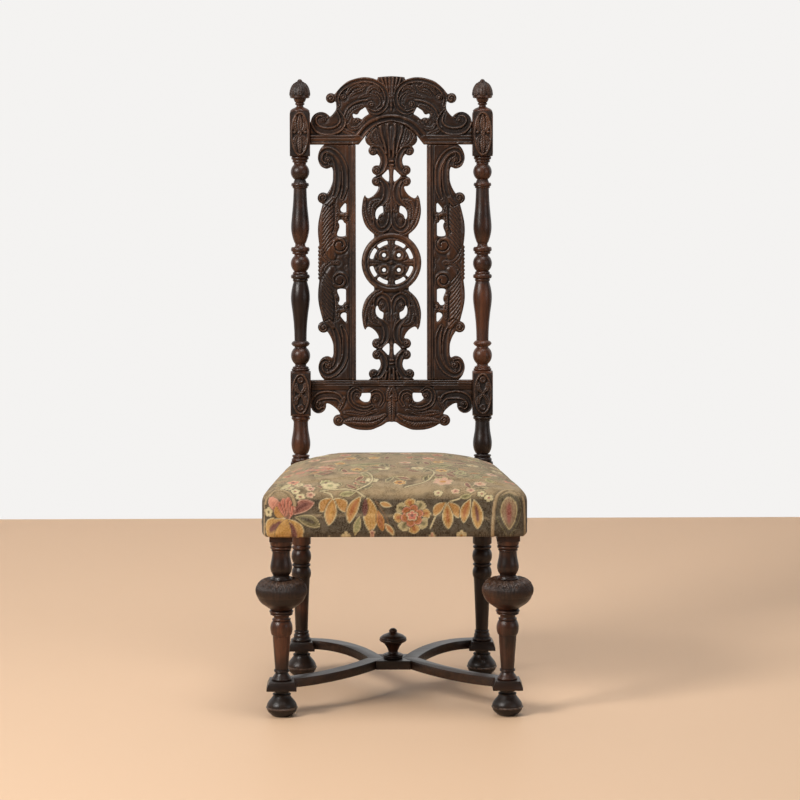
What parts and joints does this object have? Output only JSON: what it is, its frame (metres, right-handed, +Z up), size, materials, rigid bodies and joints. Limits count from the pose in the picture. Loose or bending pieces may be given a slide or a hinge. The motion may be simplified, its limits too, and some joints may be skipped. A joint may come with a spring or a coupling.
{
  "type": "high-back carved side chair",
  "caption": "Tall-backed side chair with turned posts, a pierced scroll-carved back, a stuffed tapestry seat and a low crossed stretcher on bun feet.",
  "frame": {"origin": "on the floor under the middle of the chair's outer box", "axes": "+Z up, the sitter faces -Y, +X to the right when the chair is seen from the front"},
  "size_m": [0.553, 0.5081, 1.2567],
  "materials": {
    "carved_wood": "waxed dark walnut, worn to a warm red brown on raised edges",
    "foot_wood": "blackened, dull wax",
    "frame_wood": "bare beech",
    "peg_wood": "cleft oak, unfinished",
    "screw_steel": "plain steel, dull",
    "tack_steel": "blued iron",
    "webbing": "plain woven jute",
    "hessian": "open jute weave",
    "stuffing": "curled hair under wadding",
    "tapestry": "floral needlework on an olive brown ground"
  },
  "bodies": {
    "root": {"rear_post_left": "carved_wood", "rear_post_right": "carved_wood", "post_finial_left": "carved_wood", "post_finial_right": "carved_wood", "crest_rail": "carved_wood", "back_rail": "carved_wood", "side_panel_left": "carved_wood", "side_panel_right": "carved_wood", "splat": "carved_wood", "front_leg_left": "carved_wood", "front_leg_right": "carved_wood", "front_foot_left": "foot_wood", "front_foot_right": "foot_wood", "rear_foot_left": "foot_wood", "rear_foot_right": "foot_wood", "stretcher_front_left": "carved_wood", "stretcher_front_right": "carved_wood", "stretcher_rear_left": "carved_wood", "stretcher_rear_right": "carved_wood", "stretcher_hub": "carved_wood", "stretcher_finial": "carved_wood", "seat_rail_front": "frame_wood", "seat_rail_rear": "frame_wood", "seat_rail_left": "frame_wood", "seat_rail_right": "frame_wood", "corner_block_front_left": "frame_wood", "corner_block_front_right": "frame_wood", "corner_block_rear_left": "frame_wood", "corner_block_rear_right": "frame_wood", "corner_screws": "screw_steel", "seat_webbing": "webbing", "webbing_tacks": "tack_steel", "hessian": "hessian", "seat_stuffing": "stuffing", "seat_cover": "tapestry", "cover_tacks": "tack_steel", "hub_dowels": "peg_wood", "joint_pegs": "peg_wood"}
  },
  "joints": []
}
